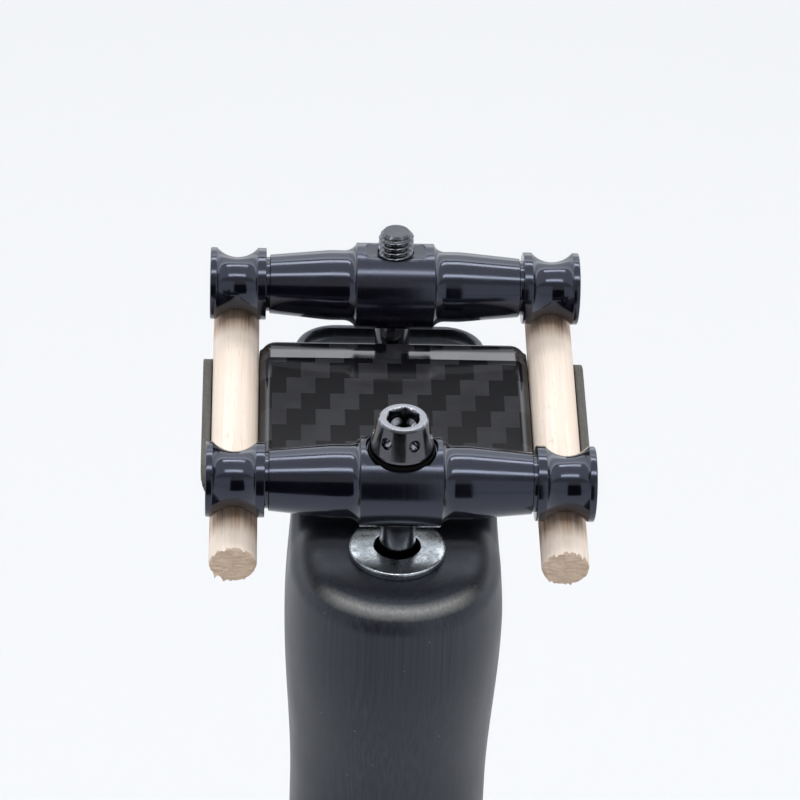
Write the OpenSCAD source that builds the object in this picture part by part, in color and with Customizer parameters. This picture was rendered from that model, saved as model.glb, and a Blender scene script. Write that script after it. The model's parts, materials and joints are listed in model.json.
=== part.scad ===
// Bicycle seatpost with a two-bolt, two-yoke saddle clamp. Millimetres.
// Origin: centre of the tube's lower end. +Z runs up the tube, -Y is the front of the bicycle,
// +X is the rider's right.

/* [Post] */
// Outer diameter of the seatpost tube
tube_d = 27.2; // [25.4, 27.2]
// Wall thickness of the tube
tube_wall = 1.6; // [1.4:0.1:2.2]
// Height of the rails' centre line above the tube's lower end
rail_height = 250; // [240:5:350]
// Distance of the clamp's centre behind the tube's axis
setback = 15; // [14.5:0.25:15.5]
// Angle between the rails and the plane square to the tube
clamp_tilt = 18; // [17.5:0.25:18.5]
// Greatest width of the head
head_w = 29.7; // [29:0.1:30.5]
// Width of the head's top, under the cradle
top_w = 28; // [27:0.1:28.4]
// Radius of the round top that the cradle turns on
hump_r = 20; // [19.5:0.1:20.5]

/* [Clamp] */
// Distance between the two yokes' axes along the rails
yoke_span = 38; // [37.5:0.1:38.5]
// Distance between the two rails' axes
rail_gauge = 44; // [43.6:0.1:44.4]
// Diameter of the wooden dowels in the rail channels
dowel_d = 6.45; // [6.3:0.05:6.5]
// Length of each dowel
dowel_len = 55; // [50:1:60]
// How far each dowel's front end stands out past the front yoke's axis
dowel_overhang = 9.3; // [7:0.1:12]
// Lean of the front bolt back from square to the rails
front_bolt_lean = 9.5; // [9:0.25:10]
// Lean of the rear bolt back from square to the rails
rear_bolt_lean = 13; // [12.5:0.25:13.5]

/* [Cradle] */
// Length of the cradle's rail channels
cradle_len = 26; // [25:0.5:27]
// Length of the cradle's raised middle along the rails
tray_len = 29; // [28:0.1:29]
// Slope of the raised middle's front and rear ends
tray_slope = 26; // [20:1:30]
// Thickness of the carbon laminate
shell_t = 1.25; // [1.1:0.05:1.3]
// Height of the cradle's flat top above the rails' axes
plateau_z = 2; // [1.8:0.1:2.2]
// Height of the outer flaps' top edge above the rails' axes
flap_z = 0.3; // [0:0.1:0.5]

/* [Yokes] */
// Diameter of the barrel in the middle of a yoke
barrel_d = 12; // [11.6:0.1:12.4]
// Width of that barrel
barrel_w = 10.9; // [10.5:0.1:11.2]
// Length of a yoke from end to end
yoke_len = 51.5; // [51:0.1:52]
// Diameter of the waist that presses on a rail
waist_d = 7.4; // [7:0.1:7.8]

/* [Bolts] */
// Thread diameter of the bolts
bolt_d = 4.9; // [4.8:0.05:4.95]
// Thread pitch
pitch = 0.8; // [0.8]
// Length of the front bolt under its head
front_bolt_len = 35; // [34:0.5:36]
// Length of the rear bolt under its head
rear_bolt_len = 30; // [29.5:0.5:30.5]
// Outer diameter of the flat washer on the front ledge
washer_d = 13; // [12:0.5:13.5]
// Hole in that washer
washer_hole = 6.2; // [5.8:0.1:6.4]

/* [Hidden] */
$fn = 72;
eps = 0.01;
far = 60;                                   // longer than any cut needs to be
run = 0.05;                                 // running gap between pieces that turn or slide on each other
bolt_room = 0.15;                           // play round a bolt in a plain hole
thread_room = 0.08;                         // play round a bolt in a tapped hole

carbon = "#17181b";
weave = "#2b2c30";
anodised = "#14151a";
titanium = "#6f737b";
zinc = "#aeb4b6";
alloy = "#8f9297";
wood = "#d9bf9c";

tube_r = tube_d / 2;
bore_r = tube_r - tube_wall;
bolt_r = bolt_d / 2;
rail_x = rail_gauge / 2;
dowel_r = dowel_d / 2;
waist_r = waist_d / 2;
rest_gap = 0.06;                            // between a yoke's waist and the rail under it
yoke_z = dowel_r + rest_gap + waist_r;      // height of the yokes' axes above the rails' axes
half_span = yoke_span / 2;

// Distances down each bolt from its yoke's axis.
seat_up = 5;                                // spot face for the front bolt's head, above the yoke's axis
ring_t = 0.45;                              // dark ring under the front bolt's head
head_base = seat_up + ring_t + run + 0.02;
head_h = 4.95;                              // height of a bolt's head
washer_t = 1;
washer_room = 1.1;                          // room round the washer, for its drift as the clamp tilts
front_ledge = 11.65;                        // front ledge under the front yoke's axis
rear_ledge = 12.3;                          // rear ledge under the rear yoke's axis
slab_t = 6.5;                               // thickness of the rear ledge
cup_t = 1.3;
ball_t = 1.25;
rear_head_base = rear_ledge + slab_t + cup_t + ball_t;

// The cradle turns on the head about an axis along X, at [y, z] in the rails' frame.
tilt_axis = [0, plateau_z - shell_t - 0.65 - hump_r];

function up_vec(lean) = [sin(lean), cos(lean)];
function along(lean, d) = [0, yoke_z] + d * up_vec(lean);
// How far below a yoke's axis the tilt axis is abreast of its bolt.
function foot(side, lean) = -([tilt_axis[0] - side * half_span, tilt_axis[1] - yoke_z] * up_vec(lean));
front_foot = foot(-1, front_bolt_lean);
rear_foot = foot(1, rear_bolt_lean);

// A point of the rails' frame [y, z] in the post's frame.
function to_post(p) = [setback + p[0] * cos(clamp_tilt) - p[1] * sin(clamp_tilt),
                       rail_height + p[0] * sin(clamp_tilt) + p[1] * cos(clamp_tilt)];
function on_bolt(side, lean, d) = to_post([side * half_span, 0] + along(lean, d));
front_ledge_at = on_bolt(-1, front_bolt_lean, -front_ledge);
rear_ledge_at = on_bolt(1, rear_bolt_lean, -rear_ledge);
nut_at = on_bolt(-1, front_bolt_lean, -front_foot);
hump_at = to_post(tilt_axis);
front_nose = clamp_tilt - front_bolt_lean;  // the ledges face along their bolts
rear_nose = clamp_tilt - rear_bolt_lean;

// Barrel nut and the plug that carries it.
nut_r = 4.5;
nut_len = 18;
carrier_low = 9;                            // carrier's reach below and above the nut's axis
carrier_high = 4.6;
carrier_hole_r = 3.5;
carrier_top = nut_at[1] + carrier_high;

// Head of the post.
neck_z = nut_at[1] - 26;                    // where the tube starts to widen
wide_z = nut_at[1];                         // where it is widest
front_bulge = 3;
front_power = 2.1;
edge_r = 4;                                 // rounding of the front ledge's edge
arm_top = 29;                               // how far back the arm under the rear ledge reaches
arm_z = nut_at[1] + 14;
slab_w = 13.6;                              // half width of the rear ledge
slab_back = 10.6;                           // rear ledge behind its bolt
slab_front = 15;
slab_corner = 6;
dish_rim = 1.3;                             // rim round the shallow dish in the rear ledge
dish_depth = 1.6;
dish_front = 4.2;                           // how far the dish reaches in front of the bolt
bolt_hole_r = 3.7;                          // hole for the front bolt through the front ledge
slot_r = 2.9;                               // slot for the rear bolt through the rear ledge
slot_reach = 4.1;
pocket_r = 6.3;                             // pocket for the spherical washers under the rear ledge
hole_depth = 14;                            // how far these are cut into the head

// Spot faces and washers.
spot_r = 4.75;                              // spot faces above and below a yoke
thread_spot_r = 4.2;                        // spot face where the rear bolt's tip comes out
spot_low = 5.6;                             // distance of the shallow spot faces from the yoke's axis
spot_cut = 5;
ring_r = 4.5;
cup_r = 5.75;
cup_skirt = 0.6;                            // how far the hollow washer reaches down round the round one
cup_hole_r = 3.5;
ball_r = 4.4;
ball_sphere = rear_foot - rear_ledge - slab_t - cup_t + 0.35;

function smooth(a, b, v) = let (t = min(1, max(0, (v - a) / (b - a)))) t * t * (3 - 2 * t);
function half_w(z) = tube_r + (head_w / 2 - tube_r) * smooth(neck_z, wide_z, z)
                   - (head_w - top_w) / 2 * smooth(wide_z, arm_z, z);
function front_y(z) = tube_r + front_bulge * smooth(neck_z, wide_z, z);
function back_y(z) = tube_r + (arm_top - tube_r) * pow(max(0, (z - neck_z) / (arm_z - neck_z)), 2.3);
function back_power(z) = 2 + 2.5 * smooth(neck_z, arm_z, z);
function superellipse(c, p) = sign(c) * pow(abs(c), 2 / p);
// One ring of the head. Its flats stand just outside the tube's circle.
function outline(z, steps) = let (grow = 1 / cos(180 / steps) + 0.002) [for (i = [0 : steps - 1])
    let (a = 360 * i / steps, s = sin(a), p = s > 0 ? back_power(z) : front_power)
    let (reach = s > 0 ? back_y(z) : front_y(z))
    [grow * half_w(z) * superellipse(cos(a), p), grow * reach * superellipse(s, p), z]];

module in_clamp() {
    translate([0, setback, rail_height]) rotate([clamp_tilt, 0, 0]) children();
}

// Origin on a yoke's axis, +Z up its bolt.
module at_front_bolt() {
    in_clamp() translate([0, -half_span, yoke_z]) rotate([-front_bolt_lean, 0, 0]) children();
}

module at_rear_bolt() {
    in_clamp() translate([0, half_span, yoke_z]) rotate([-rear_bolt_lean, 0, 0]) children();
}

// Extrudes a side view, drawn as [y, z], to a total width along X.
module side_view(width) {
    translate([-width / 2, 0, 0]) rotate([90, 0, 90]) linear_extrude(width) children();
}

// Extrudes a front view, drawn as [x, z], to a total depth along Y.
module front_view(depth) {
    translate([0, depth / 2, 0]) rotate([90, 0, 0]) linear_extrude(depth) children();
}

module rod(r, low, high) {
    translate([0, 0, low]) cylinder(r = r, h = high - low);
}

// A hole that is longer along Y than it is wide.
module slot(half_width, half_length, low, high) {
    reach = half_length - half_width;
    translate([0, 0, low]) linear_extrude(high - low) union() {
        for (y = [-reach, reach]) translate([0, y]) circle(half_width);
        translate([-half_width, -reach]) square([2 * half_width, 2 * reach]);
    }
}

// ---- Post ----

module head_loft() {
    steps = 36;
    rise = 2.2;
    top = arm_z + 14;
    rows = floor((top - neck_z) / rise);
    rings = [for (k = [0 : rows]) outline(neck_z + k * rise, steps)];
    points = [for (ring = rings) for (p = ring) p];
    sides = [for (k = [0 : rows - 1]) for (i = [0 : steps - 1])
        let (a = k * steps + i, b = k * steps + (i + 1) % steps)
        each [[a, a + steps, b], [b, a + steps, b + steps]]];
    caps = [[for (i = [0 : steps - 1]) i],
            [for (i = [steps - 1 : -1 : 0]) rows * steps + i]];
    polyhedron(points = points, faces = concat(sides, caps));
}

// Everything the head may fill, in side view: under the front ledge, with that ledge's front edge rounded.
module under_front_ledge() {
    ledge_y = edge_r - tube_r - front_bulge;
    ledge_z = front_ledge_at[1] + (ledge_y - front_ledge_at[0]) * tan(front_nose) - edge_r / cos(front_nose);
    difference() {
        translate(front_ledge_at) rotate(front_nose) translate([-far, -2 * far]) square([2 * far, 2 * far]);
        difference() {
            translate([ledge_y - 2 * edge_r, ledge_z]) square([2 * edge_r, 2 * edge_r]);
            translate([ledge_y, ledge_z]) circle(edge_r);
        }
    }
}

// A rectangle with round corners, from front to back of its origin.
module round_plan(half_x, front, back, r) {
    translate([-half_x, r - front]) square([2 * half_x, front + back - 2 * r]);
    translate([r - half_x, -front]) square([2 * (half_x - r), front + back]);
    for (x = [r - half_x, half_x - r], y = [r - front, back - r]) translate([x, y]) circle(r);
}

module rear_slab() {
    at_rear_bolt() translate([0, 0, -rear_ledge - slab_t]) linear_extrude(slab_t)
        round_plan(slab_w, slab_front, slab_back, slab_corner);
}

module rear_dish() {
    at_rear_bolt() translate([0, 0, -rear_ledge - dish_depth]) linear_extrude(dish_depth + eps)
        round_plan(slab_w - dish_rim, dish_front, slab_back - dish_rim, slab_corner - dish_rim);
}

module post() {
    color(carbon) difference() {
        union() {
            cylinder(r = tube_r, h = neck_z + 1);
            intersection() {
                head_loft();
                side_view(far) union() {
                    under_front_ledge();
                    translate(hump_at) circle(hump_r);
                }
            }
            rear_slab();
        }
        translate([0, 0, -1]) cylinder(r = bore_r, h = carrier_top + 1.1);
        at_front_bolt() rod(bolt_hole_r, -front_ledge - hole_depth, -front_ledge + 1);
        at_front_bolt() rod(washer_d / 2 + washer_room, -front_ledge, -front_ledge + washer_t + 2);
        rear_dish();
        at_rear_bolt() slot(slot_r, slot_reach, -rear_ledge - slab_t - 3, -rear_ledge + 1);
        at_rear_bolt() rod(pocket_r, -rear_ledge - slab_t - hole_depth, -rear_ledge - slab_t);
    }
}

module nut_carrier() {
    color(alloy) difference() {
        rod(bore_r - run / 2, nut_at[1] - carrier_low, carrier_top);
        translate([-far / 2, nut_at[0], nut_at[1]]) rotate([0, 90, 0]) cylinder(r = nut_r + run, h = far);
        at_front_bolt() rod(carrier_hole_r, -front_foot - 2 * carrier_low, -front_foot + 2 * carrier_high);
    }
}

module barrel_nut() {
    color(titanium) at_front_bolt() translate([0, 0, -front_foot]) difference() {
        translate([-nut_len / 2, 0, 0]) rotate([0, 90, 0]) cylinder(r = nut_r, h = nut_len);
        rod(bolt_r + bolt_room, -far / 2, far / 2);
    }
}

module ledge_washer() {
    color(zinc) at_front_bolt() translate([0, 0, -front_ledge + run]) difference() {
        cylinder(d = washer_d, h = washer_t);
        rod(washer_hole / 2, -1, washer_t + 1);
    }
}

// ---- Bolts ----

// Plain shank, then a thread drawn as rings, then a chamfered end. Runs down from the origin.
module shank(length, threaded) {
    root_r = bolt_r - 0.4;
    tip = [[root_r, length + 0.3], [0, length + 0.3]];
    turns = floor(threaded / pitch);
    start = length - turns * pitch;
    crests = [for (k = [0 : turns - 1]) each [[root_r, start + (k + 0.1) * pitch],
                                              [bolt_r, start + (k + 0.45) * pitch],
                                              [bolt_r, start + (k + 0.65) * pitch],
                                              [root_r, start + (k + 1) * pitch]]];
    rotate([180, 0, 0]) rotate_extrude()
        polygon(concat([[0, -eps], [bolt_r, -eps], [bolt_r, start]], crests, tip));
}

// Tapered head with a hexagon socket and six lightening holes, its seat at the origin.
module tapered_head() {
    base_r = 4.25;
    top_r = 3.25;
    rim = 0.35;
    socket_af = 4;
    socket_depth = 3.8;
    hole_r = 0.8;
    hole_up = 0.55 * head_h;
    spin = -7;
    difference() {
        rotate_extrude() polygon([[0, 0], [base_r - 0.2, 0], [base_r, 0.2], [base_r, 0.5],
                                  [top_r + rim * 0.3, head_h - rim], [top_r - rim * 0.6, head_h],
                                  [0, head_h]]);
        rotate([0, 0, spin - 90]) translate([0, 0, head_h - socket_depth])
            cylinder(d = socket_af / cos(30), h = socket_depth + 1, $fn = 6);
        translate([0, 0, head_h - 0.3])
            cylinder(r1 = socket_af / 2 + 0.05, r2 = socket_af / 2 + 0.5, h = 0.35);
        for (k = [0 : 5]) rotate([0, 0, spin - 60 + 60 * k]) translate([0, 0, hole_up])
            rotate([0, 90, 0]) translate([0, 0, 1.6]) cylinder(r = hole_r, h = base_r);
    }
}

module front_bolt() {
    color(titanium) at_front_bolt() union() {
        translate([0, 0, head_base]) tapered_head();
        translate([0, 0, head_base]) shank(front_bolt_len, 16);
    }
}

module rear_bolt() {
    color(titanium) at_rear_bolt() translate([0, 0, -rear_head_base - 3 * run]) rotate([180, 0, 0]) union() {
        tapered_head();
        shank(rear_bolt_len, 14);
    }
}

module front_bolt_ring() {
    color(anodised) at_front_bolt() difference() {
        rod(ring_r, seat_up + run / 2, seat_up + run / 2 + ring_t);
        rod(bolt_r + bolt_room, 0, 2 * seat_up);
    }
}

// Spherical washers under the rear ledge. Their sphere is centred where the tilt axis is abreast of the bolt.
module rear_cup_washer() {
    color(zinc) at_rear_bolt() difference() {
        rod(cup_r, -rear_ledge - slab_t - cup_t - cup_skirt, -rear_ledge - slab_t - run);
        rod(cup_hole_r, -far / 2, 0);
        translate([0, 0, -rear_foot]) sphere(r = ball_sphere + run);
    }
}

module rear_ball_washer() {
    color(zinc) at_rear_bolt() difference() {
        intersection() {
            rod(ball_r, -rear_head_base - 2 * run, -rear_ledge - slab_t - run);
            translate([0, 0, -rear_foot]) sphere(r = ball_sphere);
        }
        rod(bolt_r + bolt_room, -far / 2, 0);
    }
}

// ---- Yokes ----

// Half of the turned outline, as [radius, distance from the middle].
module yoke_half_outline() {
    barrel_r = barrel_d / 2;
    barrel_end = barrel_w / 2;
    neck_r = 4.9;
    chamfer = 0.2;
    fillet_r = 1.9;
    fillet_len = sqrt(pow(fillet_r, 2) - pow(fillet_r - barrel_r + chamfer + neck_r, 2));
    cone_start = 9.2;
    cone_end = 17.5;
    cone_r = 4.12;
    undercut_r = 3.8;
    collar_start = 17.95;
    collar_end = 19.12;
    flange_start = 2 * rail_x - collar_end;
    rim_r = 5.03;
    groove_r = 3.75;
    end = yoke_len / 2;
    polygon([[0, 0], [barrel_r, 0], [barrel_r, barrel_end - chamfer], [barrel_r - chamfer, barrel_end],
             [0, barrel_end]]);
    difference() {
        square([barrel_r - chamfer, barrel_end + fillet_len]);
        translate([neck_r + fillet_r, barrel_end + fillet_len]) circle(fillet_r);
    }
    square([neck_r, cone_start]);
    polygon([[0, cone_start], [neck_r, cone_start], [cone_r, cone_end], [0, cone_end]]);
    square([undercut_r, collar_start]);
    difference() {
        polygon([[0, collar_start], [rim_r - 0.1, collar_start], [rim_r, collar_start + 0.1],
                 [rim_r, end - chamfer], [rim_r - chamfer, end], [0, end]]);
        translate([waist_r + groove_r, rail_x]) circle(groove_r);
    }
    square([waist_r, flange_start]);
}

module yoke_blank() {
    rotate([0, 90, 0]) rotate_extrude() union() {
        yoke_half_outline();
        mirror([0, 1]) yoke_half_outline();
    }
}

module front_yoke() {
    color(anodised) at_front_bolt() difference() {
        yoke_blank();
        rod(bolt_r + bolt_room, -far / 2, far / 2);
        rod(spot_r, seat_up, seat_up + spot_cut);
        rod(spot_r, -spot_low - spot_cut, -spot_low);
    }
}

module rear_yoke() {
    color(anodised) at_rear_bolt() difference() {
        yoke_blank();
        rod(bolt_r + thread_room, -far / 2, far / 2);
        rod(thread_spot_r, spot_low, spot_low + spot_cut);
        rod(spot_r, -spot_low - spot_cut, -spot_low);
    }
}

// ---- Cradle ----

// Front view of one rail channel: a half-round gutter and the flap outside it.
module channel_outline(inner_r) {
    outer_r = inner_r + shell_t;
    difference() {
        union() {
            translate([rail_x, 0]) circle(outer_r);
            translate([rail_x - outer_r, 0]) square([2 * outer_r, flap_z]);
        }
        translate([rail_x, 0]) circle(inner_r);
        translate([rail_x - inner_r, 0]) square([2 * inner_r, far]);
        translate([rail_x - outer_r - 1, flap_z]) square([2 * outer_r + 2, far]);
    }
}

// A rectangle with its two top corners rounded.
module arched(half, low, high, r) {
    translate([-half, low]) square([2 * half, high - low - r]);
    translate([-half + r, low]) square([2 * (half - r), high - low]);
    for (s = [-1, 1]) translate([s * (half - r), high - r]) circle(r);
}

// Side view of the raised middle: flat, then sloping down over a round shoulder. The outside ends in a brim.
module tray_side(inset, low, brim) {
    flat_end = 9;
    slope_end = 13;
    shoulder_r = 4 - inset;
    brim_drop = 0.15;
    shoulder = [for (k = [0 : 4]) let (a = tray_slope * k / 4)
        [flat_end + shoulder_r * sin(a), plateau_z - inset - shoulder_r * (1 - cos(a))]];
    down = shoulder[4][1] - low;
    foot_y = shoulder[4][0] + down / tan(tray_slope);
    brim_z = shoulder[4][1] - (slope_end - shoulder[4][0]) * tan(tray_slope);
    outside = [[slope_end, brim_z], [tray_len / 2, brim_z - brim_drop], [tray_len / 2, low]];
    side = concat([[0, low], [0, plateau_z - inset]], shoulder, brim ? outside : [[foot_y, low]]);
    union() {
        polygon(side);
        mirror([1, 0]) polygon(side);
    }
}

module cradle() {
    channel_r = dowel_r + 0.08;
    inner_wall = rail_x - channel_r;
    end = cradle_len / 2;
    side_edge = 1.8;
    lip_z = -0.9;
    flap_corner = 4;
    color(weave) in_clamp() union() {
        difference() {
            intersection() {
                front_view(far) arched(inner_wall, lip_z, plateau_z, side_edge);
                side_view(far) tray_side(0, lip_z, true);
            }
            intersection() {
                front_view(far)
                    arched(inner_wall - shell_t, lip_z - 1, plateau_z - shell_t, side_edge - shell_t);
                side_view(far) tray_side(shell_t, lip_z - 1, false);
            }
        }
        difference() {
            for (s = [0, 1]) mirror([s, 0, 0]) front_view(cradle_len) channel_outline(channel_r);
            for (s = [-1, 1]) difference() {
                corner_y = s * (end - flap_corner) - (s < 0 ? flap_corner + 1 : 0);
                translate([-far, corner_y, flap_z - flap_corner])
                    cube([2 * far, flap_corner + 1, flap_corner + 1]);
                translate([-far - 1, s * (end - flap_corner), flap_z - flap_corner])
                    rotate([0, 90, 0]) cylinder(r = flap_corner, h = 2 * far + 2);
                translate([-rail_x, -far, -far]) cube([2 * rail_x, 2 * far, 2 * far]);
            }
        }
    }
}

module cradle_saddle() {
    half_x = 13.5;
    half_y = 8.6;
    low = -4;
    color(carbon) in_clamp() difference() {
        translate([-half_x, -half_y, low]) cube([2 * half_x, 2 * half_y, plateau_z - shell_t - low]);
        side_view(far) translate(tilt_axis) circle(hump_r + 1.5 * run, $fn = 240);
    }
}

module dowel(side) {
    color(wood) in_clamp() translate([side * rail_x, -half_span - dowel_overhang, 0])
        rotate([-90, 0, 0]) cylinder(r = dowel_r, h = dowel_len);
}

module left_dowel() {
    dowel(-1);
}

module right_dowel() {
    dowel(1);
}

post();
nut_carrier();
barrel_nut();
ledge_washer();
front_bolt();
front_bolt_ring();
front_yoke();
cradle();
cradle_saddle();
rear_yoke();
rear_bolt();
rear_cup_washer();
rear_ball_washer();
left_dowel();
right_dowel();
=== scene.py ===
"""Looks of the bicycle seatpost with a two-yoke saddle clamp, around its CAD model. Pieces are drawn in mm."""
import json
from math import atan2, cos, floor, pi, radians, sin, tan

import bmesh
import bpy
import numpy as np
from mathutils import Matrix, Vector, noise


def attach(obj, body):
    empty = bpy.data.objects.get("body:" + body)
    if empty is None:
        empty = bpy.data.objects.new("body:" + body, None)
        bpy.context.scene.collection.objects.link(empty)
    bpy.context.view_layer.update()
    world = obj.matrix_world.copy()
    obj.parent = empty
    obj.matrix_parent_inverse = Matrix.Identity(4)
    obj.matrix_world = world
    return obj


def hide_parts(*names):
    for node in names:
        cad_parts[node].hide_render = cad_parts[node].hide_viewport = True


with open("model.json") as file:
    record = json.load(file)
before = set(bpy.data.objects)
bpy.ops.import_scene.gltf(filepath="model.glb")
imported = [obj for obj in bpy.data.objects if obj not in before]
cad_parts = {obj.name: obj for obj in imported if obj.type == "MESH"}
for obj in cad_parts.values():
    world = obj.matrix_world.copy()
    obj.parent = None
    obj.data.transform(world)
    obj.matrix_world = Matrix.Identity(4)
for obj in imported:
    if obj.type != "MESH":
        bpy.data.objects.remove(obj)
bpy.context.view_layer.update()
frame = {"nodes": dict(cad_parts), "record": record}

MM = 0.001
RECORD = frame["record"]
JOINTS = {j["name"]: j for j in RECORD["behaviour"]["joints"]}
MOUNTS = {m["name"]: m for m in RECORD["mounts"]}


# ---- The frame: three local frames, each with +X to the rider's right ----

def local_frame(origin, up):
    """Matrix of a frame at origin, in metres, whose +Z is up and whose +X is the object's."""
    z_axis = Vector(up).normalized()
    x_axis = Vector((1, 0, 0))
    y_axis = z_axis.cross(x_axis)
    turn = Matrix((x_axis, y_axis, z_axis)).transposed().to_4x4()
    return Matrix.Translation(Vector(origin)) @ turn


rail_along = Vector(MOUNTS["left_rail"]["axis"])
rail_middle = (Vector(MOUNTS["left_rail"]["pos_m"]) + Vector(MOUNTS["right_rail"]["pos_m"])) / 2
WORLD = Matrix.Identity(4)
CLAMP = local_frame(rail_middle, Vector((1, 0, 0)).cross(rail_along))
FRONT_BOLT = local_frame(JOINTS["front_bolt_turn"]["pos_m"], JOINTS["front_bolt_turn"]["axis"])
REAR_BOLT = local_frame(JOINTS["rear_bolt_turn"]["pos_m"], JOINTS["rear_bolt_turn"]["axis"])
TILT_AXIS = Vector(JOINTS["saddle_tilt"]["pos_m"]) / MM
NUT_AXIS = Vector(JOINTS["nut_swivel"]["pos_m"]) / MM

# ---- Driving dimensions, in mm, as in the CAD source ----

TUBE_R = MOUNTS["seat_tube"]["dims"]["r_mm"]
BORE_R = TUBE_R - 1.6
RAIL_X = MOUNTS["right_rail"]["pos_m"][0] / MM
DOWEL_R = 3.225
DOWEL_LEN = 55
DOWEL_FRONT = -28.3                 # front end of the dowels, in the clamp's frame
BOLT_R = 2.45
PITCH = 0.8
SEAT_UP = 5                         # spot face under the front bolt's head, above the yoke's axis
RING_T = 0.45
FRONT_HEAD = 5.52                   # seat of the front bolt's head, above the yoke's axis
FRONT_LEDGE = -11.65
REAR_LEDGE = -12.3
SLAB_T = 6.5
REAR_HEAD = -21.5                   # seat of the rear bolt's head
HUMP_R = 20
SHELL_T = 1.25
BARREL_END = 5.45                   # half the width of a yoke's barrel
HEAD_H = 4.95                       # height of a bolt's head
YOKE_PRESSES = (9.3, 47.3)          # where the yokes bear on a dowel, from its front end
FINE = 192                          # steps round a turned piece


# ---- Outlines ----

def arc(centre, radius, start, end, steps=8):
    """Points of an arc, angles in degrees, as (x, y)."""
    angles = [radians(start + (end - start) * k / steps) for k in range(steps + 1)]
    return [(centre[0] + radius * cos(a), centre[1] + radius * sin(a)) for a in angles]


def rounded(corners, closed=False, steps=5):
    """An outline through corners (x, y, radius), each rounded by its radius."""
    points = []
    last = len(corners) - 1
    for i, (x, y, radius) in enumerate(corners):
        if radius == 0 or (not closed and i in (0, last)):
            points.append((x, y))
            continue
        here = Vector((x, y))
        back = (Vector(corners[i - 1][:2]) - here).normalized()
        ahead = (Vector(corners[(i + 1) % (last + 1)][:2]) - here).normalized()
        half = back.angle(ahead) / 2
        centre = here + (back + ahead).normalized() * (radius / sin(half))
        first = here + back * (radius / tan(half)) - centre
        final = here + ahead * (radius / tan(half)) - centre
        begin = atan2(first.y, first.x)
        turn = (atan2(final.y, final.x) - begin + pi) % (2 * pi) - pi
        for k in range(steps + 1):
            angle = begin + turn * k / steps
            points.append((centre.x + radius * cos(angle), centre.y + radius * sin(angle)))
    return points


# ---- Mesh building ----

def skin(bm, ring, following):
    """Faces between two rings of vertices, either of which may be a single point."""
    count = max(len(ring), len(following))
    for i in range(count):
        j = (i + 1) % count
        near = [ring[i % len(ring)], ring[j % len(ring)]]
        far = [following[j % len(following)], following[i % len(following)]]
        bm.faces.new(list(dict.fromkeys(near + far)))


def lathe(bm, outline, steps=FINE, closed=False, along="z", turn=0.0):
    """Turns an outline of (radius, height) about the Z or the X axis."""
    rings = []
    for radius, height in outline:
        angles = [0.0] if radius < 1e-6 else [turn + 2 * pi * i / steps for i in range(steps)]
        places = [(radius * cos(a), radius * sin(a), height) for a in angles]
        if along == "x":
            places = [(h, y, z) for y, z, h in places]
        rings.append([bm.verts.new(p) for p in places])
    pairs = list(zip(rings, rings[1:]))
    if closed:
        pairs.append((rings[-1], rings[0]))
    for low, high in pairs:
        skin(bm, low, high)


def rod_outline(radius, low, high):
    return [(0, low), (radius, low), (radius, high), (0, high)]


def new_object(name, bm):
    """An object from a bmesh, with its normals outwards."""
    bmesh.ops.recalc_face_normals(bm, faces=bm.faces)
    mesh = bpy.data.meshes.new(name)
    bm.to_mesh(mesh)
    bm.free()
    obj = bpy.data.objects.new(name, mesh)
    bpy.context.collection.objects.link(obj)
    return obj


def bake_modifiers(obj):
    """Replaces an object's mesh by what its modifiers make of it."""
    graph = bpy.context.evaluated_depsgraph_get()
    mesh = bpy.data.meshes.new_from_object(obj.evaluated_get(graph))
    obj.modifiers.clear()
    old = obj.data
    obj.data = mesh
    bpy.data.meshes.remove(old)


def drill(obj, cutters, edge=0.0):
    """Cuts closed shapes out of an object, and rounds the edges this leaves."""
    for k, bm in enumerate(cutters):
        tool = new_object(f"cutter_{k}", bm)
        cut = obj.modifiers.new("cut", "BOOLEAN")
        cut.operation = "DIFFERENCE"
        cut.solver = "EXACT"
        cut.object = tool
        bake_modifiers(obj)
        bpy.data.objects.remove(tool)
    if edge:
        bevel = obj.modifiers.new("edge", "BEVEL")
        bevel.width = edge
        bevel.segments = 3
        bevel.limit_method = "ANGLE"
        bevel.angle_limit = radians(38)
        bevel.use_clamp_overlap = False
        bake_modifiers(obj)


def piece(obj, place, body, replaced, materials, smooth=38):
    obj.data.transform(Matrix.Scale(MM, 4))
    obj.matrix_world = place
    for poly in obj.data.polygons:
        poly.use_smooth = True
    if smooth:
        obj.data.set_sharp_from_angle(angle=radians(smooth))
    for material in materials:
        obj.data.materials.append(material)
    bpy.context.view_layer.update()
    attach(obj, body)
    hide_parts(*replaced)


# ---- Shapes given by a distance field ----

def along_frame(points, place):
    """The x, y and z of points, given in the object's frame in mm, in a local frame."""
    turn = np.array(place.to_3x3())
    local = (points - np.array(place.translation) / MM) @ turn
    return local[..., 0], local[..., 1], local[..., 2]


def round_min(a, b, r):
    """Union of two fields, with a fillet of radius r between them."""
    return np.maximum(r, np.minimum(a, b)) - np.hypot(np.maximum(r - a, 0), np.maximum(r - b, 0))


def round_max(a, b, r):
    """Intersection of two fields, with an edge rounded to radius r."""
    return np.minimum(-r, np.maximum(a, b)) + np.hypot(np.maximum(r + a, 0), np.maximum(r + b, 0))


def box_field(x, y, half_x, half_y, r):
    """Distance to a rectangle with corners rounded to r."""
    dx = np.abs(x) - half_x + r
    dy = np.abs(y) - half_y + r
    return np.hypot(np.maximum(dx, 0), np.maximum(dy, 0)) + np.minimum(np.maximum(dx, dy), 0) - r


def slopes(field, points, h=0.01):
    """Gradient of a field by central differences."""
    steps = np.eye(3) * h
    return np.stack([(field(points + s) - field(points - s)) / (2 * h) for s in steps], -1)


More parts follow.
